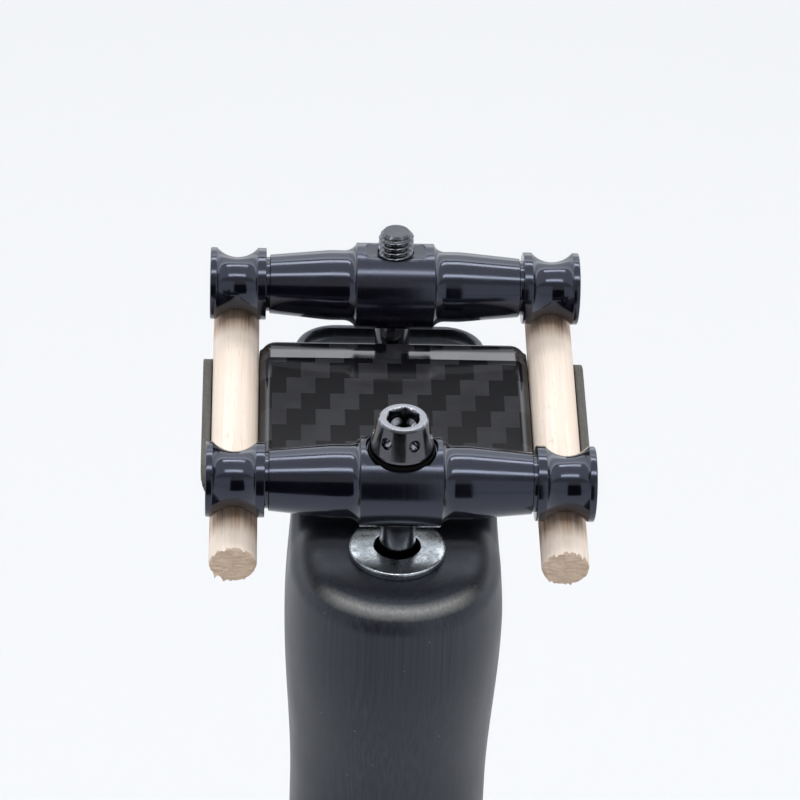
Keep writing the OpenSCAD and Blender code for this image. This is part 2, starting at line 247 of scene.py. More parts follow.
def surface(field, low, high, step):
    """Quads over the zero surface of a field, by surface nets, with every vertex moved onto the surface."""
    axes = [np.arange(a, b + step, step) for a, b in zip(low, high)]
    grid = np.stack(np.meshgrid(*axes, indexing="ij"), -1)
    value = field(grid)
    shape = np.array(value.shape)
    stride = np.array([shape[1] * shape[2], shape[2], 1])
    total = np.zeros((value.size, 3))
    count = np.zeros(value.size)
    quads = []
    for k in range(3):
        i, j = (k + 1) % 3, (k + 2) % 3
        start = np.take(value, range(shape[k] - 1), axis=k)
        end = np.take(value, range(1, shape[k]), axis=k)
        edge = np.argwhere((start < 0) != (end < 0))
        a, b = start[tuple(edge.T)], end[tuple(edge.T)]
        place = np.array(low) + edge * step
        place[:, k] += step * a / (a - b)
        base = edge @ stride
        ring = [base, base - stride[i], base - stride[i] - stride[j], base - stride[j]]
        for cell in ring:
            for c in range(3):
                total[:, c] += np.bincount(cell, place[:, c], value.size)
            count += np.bincount(cell, minlength=value.size)
        quad = np.stack(ring, -1)
        quads.append(np.where((a < 0)[:, None], quad, quad[:, ::-1]))
    used = np.flatnonzero(count)
    number = np.zeros(value.size, int)
    number[used] = np.arange(len(used))
    points = total[used] / count[used, None]
    for _ in range(4):
        grade = slopes(field, points)
        points -= (field(points) / np.maximum((grade ** 2).sum(-1), 1e-6))[:, None] * grade
    return points, number[np.concatenate(quads)]


def field_mesh(name, field, low, high, step):
    """A closed object over the zero surface of a field."""
    points, quads = surface(field, low, high, step)
    mesh = bpy.data.meshes.new(name)
    mesh.from_pydata(points.tolist(), [], quads.tolist())
    mesh.update()
    obj = bpy.data.objects.new(name, mesh)
    bpy.context.collection.objects.link(obj)
    return obj


# ---- Materials ----

class Paint:
    """A Principled material and short ways to add nodes to it."""

    def __init__(self, name, **sockets):
        self.material = bpy.data.materials.new(name)
        self.material.use_nodes = True
        self.tree = self.material.node_tree
        self.shader = self.tree.nodes["Principled BSDF"]
        for socket, value in sockets.items():
            self.shader.inputs[socket.replace("_", " ")].default_value = value

    def node(self, kind, inputs=(), **settings):
        made = self.tree.nodes.new(kind)
        for key, value in settings.items():
            setattr(made, key, value)
        for key, value in dict(inputs).items():
            if isinstance(value, bpy.types.NodeSocket):
                self.tree.links.new(value, made.inputs[key])
            else:
                made.inputs[key].default_value = value
        return made

    def place(self, stretch):
        """The piece's own coordinates in mm, times stretch."""
        source = self.node("ShaderNodeTexCoord").outputs["Object"]
        scale = [s / MM for s in stretch]
        return self.node("ShaderNodeMapping", {"Vector": source, "Scale": scale}).outputs["Vector"]

    def coordinate(self, axis):
        """One of the piece's own coordinates, in mm."""
        return self.node("ShaderNodeSeparateXYZ", {0: self.place((1, 1, 1))}).outputs[axis]

    def noise(self, stretch, detail=3.0, roughness=0.5):
        made = self.node("ShaderNodeTexNoise", {"Vector": self.place(stretch), "Scale": 1.0, "Detail": detail,
                                                "Roughness": roughness})
        return made.outputs["Fac"]

    def math(self, operation, *values):
        made = self.node("ShaderNodeMath", dict(enumerate(values)), operation=operation)
        return made.outputs[0]

    def range(self, value, low, high, to_low, to_high):
        made = self.node("ShaderNodeMapRange", {"Value": value, "From Min": low, "From Max": high,
                                                "To Min": to_low, "To Max": to_high})
        return made.outputs["Result"]

    def between(self, factor, a, b):
        """A number from a to b."""
        return self.node("ShaderNodeMix", {0: factor, 2: a, 3: b}).outputs[0]

    def mix(self, factor, a, b):
        """A colour from a to b."""
        made = self.node("ShaderNodeMix", data_type="RGBA")
        for key, value in ((0, factor), (6, a), (7, b)):
            if isinstance(value, bpy.types.NodeSocket):
                self.tree.links.new(value, made.inputs[key])
            else:
                made.inputs[key].default_value = value
        return made.outputs[2]

    def drive(self, socket, value):
        self.tree.links.new(value, self.shader.inputs[socket])

    def bump(self, height, depth_mm, strength=1.0):
        distance = depth_mm * MM
        made = self.node("ShaderNodeBump", {"Height": height, "Distance": distance, "Strength": strength})
        self.drive("Normal", made.outputs["Normal"])


def grey(r, g=None, b=None):
    return (r, r if g is None else g, r if b is None else b, 1.0)


def anodised():
    """Black anodised alloy: polished on the arms, a little duller on the barrel in the middle."""
    p = Paint("black_anodised", IOR=1.68)
    barrel = p.range(p.math("ABSOLUTE", p.coordinate("X")), BARREL_END - 0.2, BARREL_END, 1.0, 0.0)
    smudge = p.noise((0.35, 0.35, 0.35), 4.0)
    lines = p.noise((9.0, 0.05, 0.05), 2.0)
    polish = p.range(smudge, 0.35, 0.7, 0.12, 0.18)
    turned = p.range(lines, 0.3, 0.7, 0.16, 0.25)
    p.drive("Roughness", p.between(barrel, polish, turned))
    p.drive("Base Color", p.mix(smudge, grey(0.0015, 0.0015, 0.003), grey(0.003, 0.003, 0.006)))
    p.drive("Specular Tint", p.mix(smudge, grey(0.74, 0.80, 1.0), grey(0.68, 0.75, 1.0)))
    p.bump(p.math("MULTIPLY", lines, p.math("MULTIPLY_ADD", barrel, 0.9, 0.1)), 0.004)
    return p.material


def titanium():
    """Turned and darkened titanium, with very fine rings left by the tool. A head's top face is brighter."""
    p = Paint("titanium", Metallic=1.0)
    rings = p.noise((0.04, 0.04, 6.0), 2.0)
    cloud = p.noise((0.5, 0.5, 0.5), 3.0)
    p.drive("Roughness", p.range(cloud, 0.3, 0.7, 0.13, 0.2))
    top_face = p.range(p.coordinate("Z"), HEAD_H - 0.23, HEAD_H - 0.05, 0.0, 1.0)
    body = p.mix(cloud, grey(0.085, 0.088, 0.098), grey(0.12, 0.124, 0.137))
    p.drive("Base Color", p.mix(top_face, body, grey(0.26, 0.265, 0.29)))
    p.bump(rings, 0.0012)
    return p.material


def zinc():
    """Zinc-plated steel, mottled, with a bluish cast and fine scratches."""
    p = Paint("zinc_steel", Metallic=1.0)
    cloud = p.noise((0.9, 0.9, 0.9), 5.0, 0.65)
    speck = p.noise((5.0, 5.0, 5.0), 2.0)
    scratch = p.noise((0.6, 9.0, 1.0), 2.0)
    tone = p.mix(p.range(cloud, 0.38, 0.62, 0.0, 1.0), grey(0.30, 0.335, 0.36), grey(0.58, 0.61, 0.64))
    p.drive("Base Color", p.mix(p.range(speck, 0.62, 0.7, 0.0, 0.6), tone, grey(0.16, 0.2, 0.26)))
    p.drive("Roughness", p.range(cloud, 0.35, 0.65, 0.38, 0.22))
    p.bump(p.math("ADD", speck, scratch), 0.004)
    return p.material


def matte_ring():
    """The dark ring under the front bolt's head."""
    p = Paint("dark_ring", Base_Color=grey(0.001), Specular_IOR_Level=0.05)
    p.drive("Roughness", p.range(p.noise((3.0, 3.0, 3.0)), 0.3, 0.7, 0.45, 0.65))
    return p.material


def machined():
    """Plain machined alloy for the pieces inside the head."""
    p = Paint("plain_alloy", Metallic=1.0)
    marks = p.noise((0.1, 0.1, 5.0), 3.0)
    p.drive("Roughness", p.range(marks, 0.3, 0.7, 0.28, 0.42))
    p.drive("Base Color", p.mix(marks, grey(0.46, 0.47, 0.48), grey(0.60, 0.61, 0.63)))
    p.bump(marks, 0.006)
    return p.material


def beech():
    """Bare beech: grain along the dowel, short dark flecks, and painted brown shade under each yoke, where it
    bears on the dowel.
    """
    p = Paint("beech", Roughness=0.62)
    broad = p.noise((0.55, 0.55, 0.02), 4.0, 0.6)
    grain = p.noise((3.2, 3.2, 0.07), 4.0, 0.65)
    fleck = p.noise((4.0, 4.0, 0.45), 1.0)
    tone = p.mix(p.range(broad, 0.35, 0.65, 0.0, 1.0), grey(0.75, 0.655, 0.57), grey(0.665, 0.555, 0.465))
    tone = p.mix(p.range(grain, 0.5, 0.75, 0.0, 0.4), tone, grey(0.55, 0.40, 0.29))
    tone = p.mix(p.range(fleck, 0.67, 0.73, 0.0, 0.3), tone, grey(0.40, 0.27, 0.19))
    # Painted shade: the wood turns dark brown under each yoke, fading out between 3.4 and 6 mm from where it
    # bears on the dowel.
    shade_full, shade_end = 3.4, 6.0
    z = p.coordinate("Z")
    away = [p.math("ABSOLUTE", p.math("SUBTRACT", z, pressed)) for pressed in YOKE_PRESSES]
    painted_shade = p.range(p.math("MINIMUM", *away), shade_full, shade_end, 1.0, 0.0)
    grained_shade = p.math("MULTIPLY", painted_shade, p.range(grain, 0.3, 0.65, 0.25, 1.0))
    p.drive("Base Color", p.mix(grained_shade, tone, grey(0.36, 0.215, 0.13)))
    p.bump(p.math("ADD", grain, fleck), 0.04, 0.7)
    return p.material


def beech_end():
    """Sawn end grain: darker, open pores, torn fibres."""
    p = Paint("beech_end", Roughness=0.85)
    pores = p.noise((4.5, 4.5, 4.5), 4.0, 0.7)
    rings = p.noise((0.5, 2.6, 0.5), 3.0)
    tone = p.mix(p.range(rings, 0.35, 0.65, 0.0, 1.0), grey(0.60, 0.47, 0.36), grey(0.46, 0.34, 0.25))
    p.drive("Base Color", p.mix(p.range(pores, 0.58, 0.7, 0.0, 0.7), tone, grey(0.24, 0.16, 0.11)))
    p.bump(pores, 0.12, 0.8)
    return p.material


def satin_carbon():
    """Black carbon sanded down lengthways: streaks, a little dust, and a paler band painted on as the
    highlight of the ledge's rounded front edge.
    """
    p = Paint("post_carbon", IOR=1.5)
    streak = p.noise((2.6, 2.6, 0.018), 4.0, 0.6)
    broad = p.noise((0.4, 0.4, 0.012), 3.0)
    cloud = p.noise((0.12, 0.12, 0.08), 3.0)
    cells = p.node("ShaderNodeTexVoronoi", {"Vector": p.place((0.35, 0.35, 0.35)), "Scale": 1.0})
    dust = cells.outputs["Distance"]
    tone = p.mix(p.range(streak, 0.3, 0.75, 0.0, 1.0), grey(0.004, 0.004, 0.006), grey(0.022, 0.024, 0.033))
    tone = p.mix(p.range(broad, 0.35, 0.7, 0.0, 0.5), tone, grey(0.012, 0.0125, 0.015))
    # Painted highlight: a paler base colour on the ledge's rounded front edge, where the surface faces partly
    # up, in place of the lamps' reflection there.
    normal = p.node("ShaderNodeTexCoord").outputs["Normal"]
    up = p.node("ShaderNodeSeparateXYZ", {0: normal}).outputs["Z"]
    highlight_front, highlight_back = -13.0, -9.3
    painted_highlight = p.math("MULTIPLY", p.range(up, 0.48, 0.70, 0.0, 1.0), p.range(up, 0.72, 0.86, 1.0, 0.0))
    painted_highlight = p.math("MULTIPLY", painted_highlight, p.range(p.coordinate("Y"), highlight_front, highlight_back, 1.0, 0.0))
    painted_highlight = p.math("MULTIPLY", painted_highlight, p.range(streak, 0.3, 0.7, 0.6, 1.0))
    tone = p.mix(painted_highlight, tone, grey(0.23, 0.22, 0.205))
    p.drive("Base Color", p.mix(p.range(dust, 0.022, 0.034, 0.5, 0.0), tone, grey(0.3)))
    p.drive("Specular Tint", p.mix(cloud, grey(0.84, 0.90, 1.0), grey(0.77, 0.86, 1.0)))
    p.drive("Roughness", p.range(p.math("ADD", streak, cloud), 0.7, 1.3, 0.32, 0.46))
    p.bump(p.math("ADD", streak, broad), 0.010, 0.6)
    return p.material


def twill():
    """Carbon in a 2 by 2 twill under a thin coat. Tows along the rails are 2 mm wide, those across 3 mm and
    lighter by a painted sheen.
    """
    p = Paint("twill_carbon", Coat_Weight=0.75, Coat_IOR=1.55, Coat_Roughness=0.1, Specular_IOR_Level=0.0)
    tow_x, tow_y, start_x, start_y = 2.0, 3.05, 2.5, -1.795
    source = p.node("ShaderNodeTexCoord").outputs["Object"]
    at = p.node("ShaderNodeMapping", {"Vector": source, "Scale": (1 / tow_x / MM, 1 / tow_y / MM, 1.0),
                                      "Location": (start_x, start_y, 0.0)}).outputs["Vector"]
    parts = p.node("ShaderNodeSeparateXYZ", {0: at}).outputs
    u, v = parts["X"], parts["Y"]
    across = p.math("FLOORED_MODULO", p.math("SUBTRACT", u, p.math("FLOOR", v)), 4.0)
    along = p.math("FLOORED_MODULO", p.math("ADD", p.math("SUBTRACT", v, p.math("FLOOR", u)), 3.0), 4.0)
    is_across = p.math("LESS_THAN", across, 2.0)
    rise_across = p.math("SINE", p.math("MULTIPLY", across, pi / 2))
    rise_along = p.math("SINE", p.math("MULTIPLY", along, pi / 2))
    fibre_across = p.noise((0.15, 9.0, 0.15), 2.0)
    fibre_along = p.noise((9.0, 0.15, 0.15), 2.0)
    cloud = p.noise((0.16, 0.16, 0.16), 2.0)
    # Painted sheen: the tows across the rails get a lighter base colour than those along them, in place of the
    # fibres' own reflection, which changes with the view.
    light = p.mix(fibre_across, grey(0.018, 0.018, 0.021), grey(0.036, 0.036, 0.041))
    light = p.mix(p.range(cloud, 0.4, 0.65, 0.0, 0.5), light, grey(0.01, 0.01, 0.012))
    dark = p.mix(fibre_along, grey(0.002, 0.002, 0.003), grey(0.008, 0.008, 0.010))
    p.drive("Base Color", p.mix(is_across, dark, light))
    p.drive("Roughness", p.between(is_across, 0.5, 0.4))
    p.bump(p.between(is_across, rise_along, rise_across), 0.02, 0.25)
    return p.material


def cut_laminate():
    """The sawn and sanded edge of the laminate: matt, grey-brown, in thin layers."""
    p = Paint("cut_laminate", Roughness=0.75)
    layers = p.noise((6.0, 0.2, 6.0), 3.0)
    speck = p.noise((2.5, 2.5, 2.5), 3.0)
    share = p.math("MULTIPLY", layers, speck)
    p.drive("Base Color", p.mix(share, grey(0.045, 0.042, 0.038), grey(0.16, 0.148, 0.132)))
    p.bump(speck, 0.03)
    return p.material


def composite():
    """Moulded composite of the block under the cradle."""
    p = Paint("moulded_composite", IOR=1.5)
    chips = p.noise((0.8, 0.8, 0.8), 4.0)
    p.drive("Base Color", p.mix(chips, grey(0.008), grey(0.03)))
    p.drive("Roughness", p.range(chips, 0.3, 0.7, 0.4, 0.6))
    p.bump(chips, 0.02)
    return p.material


BLACK_ANODISED = anodised()
TITANIUM = titanium()
ZINC = zinc()
DARK_RING = matte_ring()
ALLOY = machined()
BEECH = beech()
BEECH_END = beech_end()
POST_CARBON = satin_carbon()
TWILL = twill()
CUT_LAMINATE = cut_laminate()
COMPOSITE = composite()


# ---- Yokes ----

def yoke_outline():
    """Half of a yoke's turned outline as (radius, distance from the middle), from its middle to its end."""
    barrel_r, neck_r = 6.0, 4.9
    edge = 0.12
    hollow_r, hollow_len = 1.9, 1.616
    hollow_turn = np.degrees(np.arcsin(hollow_len / hollow_r))
    cone_start, cone_end, cone_r, step_r = 9.2, 17.45, 4.12, 3.8
    collar_start, rim_r, end = 17.95, 5.03, 25.75
    waist_r, groove_r = 3.7, 3.75
    outline = [(barrel_r, 0.0)]
    outline += arc((barrel_r - edge, BARREL_END - edge), edge, 0, 90, 4)
    outline += arc((neck_r + hollow_r, BARREL_END + hollow_len), hollow_r, hollow_turn - 180, -180, 12)
    outline += rounded([(neck_r, BARREL_END + hollow_len + 0.1, 0), (neck_r, cone_start, 12),
                        (cone_r, cone_end, 0.1), (step_r, cone_end, 0.05), (step_r, collar_start, 0.05),
                        (rim_r, collar_start, 0.1), (rim_r, collar_start + 0.3, 0)])
    spread = pi / 2 - np.arccos((waist_r + groove_r - rim_r) / groove_r)
    open_angle = 90 - np.degrees(spread)
    outline += arc((waist_r + groove_r, RAIL_X), groove_r, 180 + open_angle, 180 - open_angle, 40)
    outline += rounded([(rim_r, end - 0.5, 0), (rim_r, end, 0.2), (3.0, end, 0), (2.7, end - 0.15, 0)])
    return outline


def yoke(name, place, body, spot_r, spot_up, bore_r):
    """A turned cross bar with a bore and a spot face above and below."""
    bm = bmesh.new()
    half = yoke_outline()
    outline = [(r, -x) for r, x in reversed(half)] + half[1:]
    lathe(bm, [(0, outline[0][1])] + outline + [(0, outline[-1][1])], along="x", steps=256)
    obj = new_object(name + "_turned", bm)
    tools = []
    clear, under_r, under_up = 8, 4.75, -5.6
    for radius, low, high in ((bore_r, -clear, clear), (spot_r, spot_up, clear), (under_r, -clear, under_up)):
        tool = bmesh.new()
        lathe(tool, rod_outline(radius, low, high), steps=128)
        tools.append(tool)
    drill(obj, tools, 0.09)
    piece(obj, place, body, [name], [BLACK_ANODISED])


yoke("front_yoke", FRONT_BOLT, "front_yoke", 4.75, SEAT_UP, BOLT_R + 0.15)
yoke("rear_yoke", REAR_BOLT, "rear_yoke", 4.2, SEAT_UP + 0.6, BOLT_R + 0.08)


# ---- Bolts ----

def thread_depth(turn):
    """How deep the thread is cut at a part of a turn, from 0 on the crest to 1 at the root."""
    wave = 1 - abs(2 * (turn - floor(turn)) - 1)
    return min(1.0, max(0.0, (wave - 0.1) / 0.72))


def shank(bm, length, threaded, steps=72, per_turn=12):
    """A shank down from the origin, with a helical thread and a chamfered end."""
    deep = 0.42
    start = length - threaded
    heights = [0.3, -0.2, -start / 2]
    rows = int(threaded / PITCH * per_turn)
    heights += [-start - threaded * k / rows for k in range(rows + 1)]
    rings = [[bm.verts.new((0, 0, 0.3))]]
    for z in heights:
        into = min(1.0, max(0.0, (-z - start) / PITCH))
        ring = []
        for i in range(steps):
            depth = deep * into * thread_depth(z / PITCH - i / steps)
            chamfer = BOLT_R - deep - 0.25 + (length + z) * 0.9
            radius = min(BOLT_R - depth, chamfer)
            angle = 2 * pi * i / steps
            ring.append(bm.verts.new((radius * cos(angle), radius * sin(angle), z)))
        rings.append(ring)
    rings.append([bm.verts.new((0, 0, -length))])
    for low, high in zip(rings, rings[1:]):
        skin(bm, low, high)


def bolt_head(name):
    """A tapered head with a hexagon socket and six lightening holes, its seat at the origin."""
    base_r, top_r, height, rim = 4.25, 3.25, HEAD_H, 0.35
    socket_af, socket_depth, hole_r, hole_up, spin = 4.0, 3.8, 0.8, 2.72, radians(-7)
    bm = bmesh.new()
    lathe(bm, rounded([(0, 0, 0), (base_r - 0.25, 0, 0.05), (base_r, 0.25, 0.12), (base_r, 0.62, 0.15),
                       (top_r + rim * 0.3, height - rim, 0.15), (top_r - rim * 0.6, height, 0.12),
                       (0, height, 0)]))
    obj = new_object(name, bm)
    socket = bmesh.new()
    lathe(socket, rod_outline(socket_af / 2 / cos(pi / 6), height - socket_depth, height + 1), steps=6,
          turn=spin + pi / 2)
    lead_in = bmesh.new()
    lathe(lead_in, [(0, height - 0.34), (socket_af / 2 - 0.02, height - 0.34),
                    (socket_af / 2 + 0.52, height + 0.2), (0, height + 0.2)])
    holes = []
    for k in range(6):
        hole = bmesh.new()
        lathe(hole, rod_outline(hole_r, 1.4, base_r + 1), steps=40)
        turn = Matrix.Rotation(spin + pi / 3 * k, 4, "Z") @ Matrix.Rotation(pi / 2, 4, "Y")
        bmesh.ops.transform(hole, matrix=Matrix.Translation((0, 0, hole_up)) @ turn, verts=hole.verts)
        holes.append(hole)
    drill(obj, [socket, lead_in] + holes, 0.05)
    return obj


def bolt(name, place, body, length, threaded):
    """Head and shank in one piece, the head up."""
    obj = bolt_head(name + "_turned")
    bm = bmesh.new()
    shank(bm, length, threaded)
    bmesh.ops.recalc_face_normals(bm, faces=bm.faces)
    bm.from_mesh(obj.data)
    bm.to_mesh(obj.data)
    bm.free()
    piece(obj, place, body, [name], [TITANIUM], smooth=42)


head_up = Matrix.Translation((0, 0, FRONT_HEAD * MM))
bolt("front_bolt", FRONT_BOLT @ head_up, "front_bolt", length=35.3, threaded=16.3)
upside_down = Matrix.Translation((0, 0, REAR_HEAD * MM)) @ Matrix.Rotation(pi, 4, "X")
bolt("rear_bolt", REAR_BOLT @ upside_down, "rear_bolt", length=30.3, threaded=14.3)


# ---- Washers and ring ----

def turned_ring(name, place, body, material, corners):
    """A closed outline of (radius, height, rounding) turned about Z."""
    bm = bmesh.new()
    lathe(bm, rounded(corners, closed=True), closed=True)
    obj = new_object(name + "_turned", bm)
    piece(obj, place, body, [name], [material])


def flat_ring(inner, outer, low, high, edges):
    """Corners of a flat ring. Its edges are inside below, outside below, outside above, inside above."""
    return [(inner, low, edges[0]), (outer, low, edges[1]), (outer, high, edges[2]), (inner, high, edges[3])]


turned_ring("front_bolt_ring", FRONT_BOLT, "front_yoke", DARK_RING,
            flat_ring(BOLT_R + 0.15, 4.5, SEAT_UP + 0.025, SEAT_UP + 0.025 + RING_T, (0.08, 0.1, 0.12, 0.08)))
turned_ring("ledge_washer", FRONT_BOLT, "ledge_washer", ZINC,
            flat_ring(3.1, 6.5, FRONT_LEDGE + 0.05, FRONT_LEDGE + 1.05, (0.1, 0.15, 0.34, 0.16)))

ball_centre = -30.47                # centre of the spherical washers, down the rear bolt from the yoke's axis
ball_r = -ball_centre + REAR_LEDGE - SLAB_T - 1.3 + 0.35


def sphere_arc(radius, from_r, to_r, steps=8):
    """Points (radius, height) on the washers' sphere, between two distances from the bolt's axis."""
    spots = [from_r + (to_r - from_r) * k / steps for k in range(steps + 1)]
    return [(r, ball_centre + (radius ** 2 - r ** 2) ** 0.5) for r in spots]


def spherical_washer(name, body, outline):
    bm = bmesh.new()
    lathe(bm, outline, closed=True)
    obj = new_object(name + "_turned", bm)
    piece(obj, REAR_BOLT, body, [name], [ZINC])


SLAB_UNDER = REAR_LEDGE - SLAB_T


def rear_washers():
    """The hollow half under the rear ledge, and the round half on the bolt's head."""
    cup_r, cup_hole, cup_low, cup_top = 5.75, 3.5, SLAB_UNDER - 1.9, SLAB_UNDER - 0.05
    outside = rounded([(cup_r, cup_low, 0), (cup_r, cup_top, 0.15), (cup_hole, cup_top, 0.1),
                       (cup_hole, SLAB_UNDER - 0.6, 0)])[:-1]
    seat = sphere_arc(ball_r + 0.05, cup_hole, 5.6)
    spherical_washer("rear_cup_washer", "head", outside + seat + [(5.7, cup_low)])
    half_r, half_hole, half_low = 4.4, 2.7, REAR_HEAD + 0.05
    under = rounded([(half_r, half_low + 0.4, 0), (half_r, half_low, 0.12), (half_hole, half_low, 0.1),
                     (half_hole, half_low + 0.4, 0)])
    spherical_washer("rear_ball_washer", "rear_washer", sphere_arc(ball_r, half_hole, half_r) + under)


rear_washers()


# ---- Dowels ----

def dowel(name, side, body):
    """A wooden dowel along its own Z, with a slightly uneven skin and rough, splintered ends."""
    around, skin_rows, end_rows = 120, 110, 16
    seed = Vector((11.0 * side, 3.0, 7.0))
    bm = bmesh.new()

    def skin_r(angle, z):
        grain = noise.noise(Vector((2.2 * cos(angle), 2.2 * sin(angle), z * 0.03)) + seed)
        fine = noise.noise(Vector((9 * cos(angle), 9 * sin(angle), z * 0.12)) + seed)
        return DOWEL_R - 0.03 + 0.03 * grain + 0.015 * fine

    def tear(angle, share, z):
        """How far the sawn end stands in or out."""
        p = Vector((share * cos(angle), share * sin(angle), z))
        coarse = noise.noise(p * 1.6 + seed)
        fine = noise.noise(p * 6.0 + seed)
        rim = max(0.0, share - 0.86) / 0.14
        splinter = max(0.0, noise.noise(Vector((7 * cos(angle), 7 * sin(angle), z)) + seed)) * rim
        return 0.22 * coarse + 0.14 * fine + 1.1 * splinter - 0.25 * rim

    def torn_end(end, outward):
        """Rings of an end face, from its middle to its rim."""
        cap = [[bm.verts.new((0, 0, end + outward * tear(0, 0, end)))]]
        for k in range(1, end_rows + 1):
            share = k / end_rows
            ring = []
            for i in range(around):
                angle = 2 * pi * i / around
                radius = share * skin_r(angle, end) * (1 - 0.03 * max(0.0, share - 0.9) / 0.1)
                height = end + outward * tear(angle, share, end) - outward * 0.3
                ring.append(bm.verts.new((radius * cos(angle), radius * sin(angle), height)))
            cap.append(ring)
        return cap

    front = torn_end(0.0, -1)
    back = torn_end(DOWEL_LEN, 1)
    rings = [front[-1]]
    for k in range(1, skin_rows):
        z = 0.9 + (DOWEL_LEN - 1.8) * (k - 1) / (skin_rows - 2)
        ring = []
        for i in range(around):
            angle = 2 * pi * i / around
            ring.append(bm.verts.new((skin_r(angle, z) * cos(angle), skin_r(angle, z) * sin(angle), z)))
        rings.append(ring)
    rings.append(back[-1])
    for low, high in zip(rings, rings[1:]):
        skin(bm, low, high)
    sides = len(bm.faces)
    for cap in (front, back):
        for low, high in zip(cap, cap[1:]):
            skin(bm, low, high)
    bm.faces.ensure_lookup_table()
    for face in bm.faces[sides:]:
        face.material_index = 1
    obj = new_object(name + "_grained", bm)
    start = Matrix.Translation((side * RAIL_X * MM, DOWEL_FRONT * MM, 0))
    place = CLAMP @ start @ Matrix.Rotation(-pi / 2, 4, "X")
    piece(obj, place, body, [name], [BEECH, BEECH_END], smooth=60)


dowel("left_dowel", -1, "left_dowel")
dowel("right_dowel", 1, "right_dowel")


# ---- Cradle ----

CRADLE_HALF = 13.0
TRAY_HALF = 14.5
TRAY_FLAT = 9.0
TRAY_SLOPE = radians(23)
SHOULDER_R = 1.5
BRIM_SLOPE = radians(6)
BRIM_START = (13.0, 0.45)
BRIM_FROM = 11.5                    # the brim's field starts here, clear of the flat top
LIP_Z = -0.9
PLATEAU_Z = 2.0
FLAP_Z = 0.3
CHANNEL_R = DOWEL_R + 0.08
INNER_WALL = RAIL_X - CHANNEL_R


def shoulder_field(y, z, inset):
    """Height over the raised middle: flat, a round shoulder, then a straight slope."""
    r = SHOULDER_R - inset
    past = np.maximum(np.abs(y) - TRAY_FLAT, 0)
    bend = np.minimum(past, r * sin(TRAY_SLOPE))
    level = PLATEAU_Z - inset - r + np.sqrt(r ** 2 - bend ** 2) - (past - bend) * tan(TRAY_SLOPE)
    return (z - level) * np.sqrt(1 - (bend / r) ** 2)


def tray_field(x, y, z):
    """The raised middle of the cradle, hollow underneath, with a brim at each end."""
    brim = (z - BRIM_START[1]) * cos(BRIM_SLOPE) + (np.abs(y) - BRIM_START[0]) * sin(BRIM_SLOPE)
    brim = np.maximum(brim, BRIM_FROM - np.abs(y))
    top = round_min(shoulder_field(y, z, 0.0), brim, 0.25)
    solid = round_max(np.abs(x) - INNER_WALL, top, 1.8)
    plan = box_field(x, y, INNER_WALL + 0.3, TRAY_HALF, 2.8)
    solid = round_max(solid, plan, 0.4)
    solid = round_max(solid, LIP_Z - z, 0.2)
    hollow = round_max(np.abs(x) - INNER_WALL + SHELL_T, shoulder_field(y, z, SHELL_T), 0.5)
    return round_max(solid, -hollow, 0.15)


def cradle_field(p):
    x, y, z = p[..., 0], p[..., 1], p[..., 2]
    tray = tray_field(x, y, z)
    out = np.abs(x) - RAIL_X
    middle_r = CHANNEL_R + SHELL_T / 2
    gutter = np.abs(np.hypot(out, np.minimum(z, 0)) - middle_r) - SHELL_T / 2
    top = np.where(out > 0, FLAP_Z, 0.0)
    gutter = round_max(gutter, z - top, 0.12)
    gutter = round_max(gutter, np.abs(y) - CRADLE_HALF, 0.15)
    corner = box_field(y, z - FLAP_Z + 20, CRADLE_HALF, 20, 4.0)
    gutter = np.where(out > 0, np.maximum(gutter, corner), gutter)
    return round_min(tray, gutter, 0.35)


def cradle():
    """The laminate, with its sawn edges in a second material."""
    half = RAIL_X + CHANNEL_R + SHELL_T + 0.6
    low, high = (-half, -15.1, -5.4), (half, 15.1, 2.7)
    cut_back, sharp = 4.2, 0.8
    obj = field_mesh("cradle_laminate", cradle_field, low, high, 0.24)
    for poly in obj.data.polygons:
        centre = poly.center
        outside = abs(centre.x) > RAIL_X
        across = abs(poly.normal.x)
        off_channel = abs(abs(centre.x) - RAIL_X) > 0.5
        cut_end = abs(centre.y) > CRADLE_HALF - cut_back and off_channel and across < 0.5 and outside
        cut_face = abs(poly.normal.y) > sharp and (abs(centre.x) > INNER_WALL + 0.3 or centre.z < -0.5)
        cut_top = outside and centre.z > FLAP_Z - 0.1 and across < 0.6
        under = centre.z < -1.2 and abs(centre.x) > INNER_WALL - 1.3
        if cut_top or cut_face or (cut_end and not under):
            poly.material_index = 1
    piece(obj, CLAMP, "clamp", ["cradle"], [TWILL, CUT_LAMINATE], smooth=0)


cradle()


def saddle_field(p):
    x, y, z = p[..., 0], p[..., 1], p[..., 2]
    half_x, half_y, low, top = 13.5, 8.6, -4.0, PLATEAU_Z - SHELL_T - 0.02
    middle, half_z = (low + top) / 2, (top - low) / 2
    block = round_max(box_field(x, y, half_x, half_y, 1.0), np.abs(z - middle) - half_z, 0.4)
    axis = CLAMP.inverted() @ (TILT_AXIS * MM) / MM
    hollow = np.hypot(y - axis.y, z - axis.z) - HUMP_R - 0.075
    return round_max(block, -hollow, 0.3)


saddle_low, saddle_high = (-14.2, -10.6, -4.8), (14.2, 10.6, 1.6)
saddle = field_mesh("cradle_saddle_block", saddle_field, saddle_low, saddle_high, 0.3)
piece(saddle, CLAMP, "clamp", ["cradle_saddle"], [COMPOSITE], smooth=40)


# ---- Post ----

HEAD_HALF = 14.85
TOP_HALF = 14.0
NECK_Z = NUT_AXIS.z - 26
WIDE_Z = NUT_AXIS.z
ARM_Z = NUT_AXIS.z + 14
JOIN_Z = NECK_Z - 3                 # where the head's fine mesh meets the tube's long faces
EDGE_R = 4.0
FRONT_BULGE = 3.0
ARM_REACH = 29                      # how far back the head reaches at ARM_Z


def smooth_step(a, b, value):
    t = np.clip((value - a) / (b - a), 0, 1)
    return t * t * (3 - 2 * t)


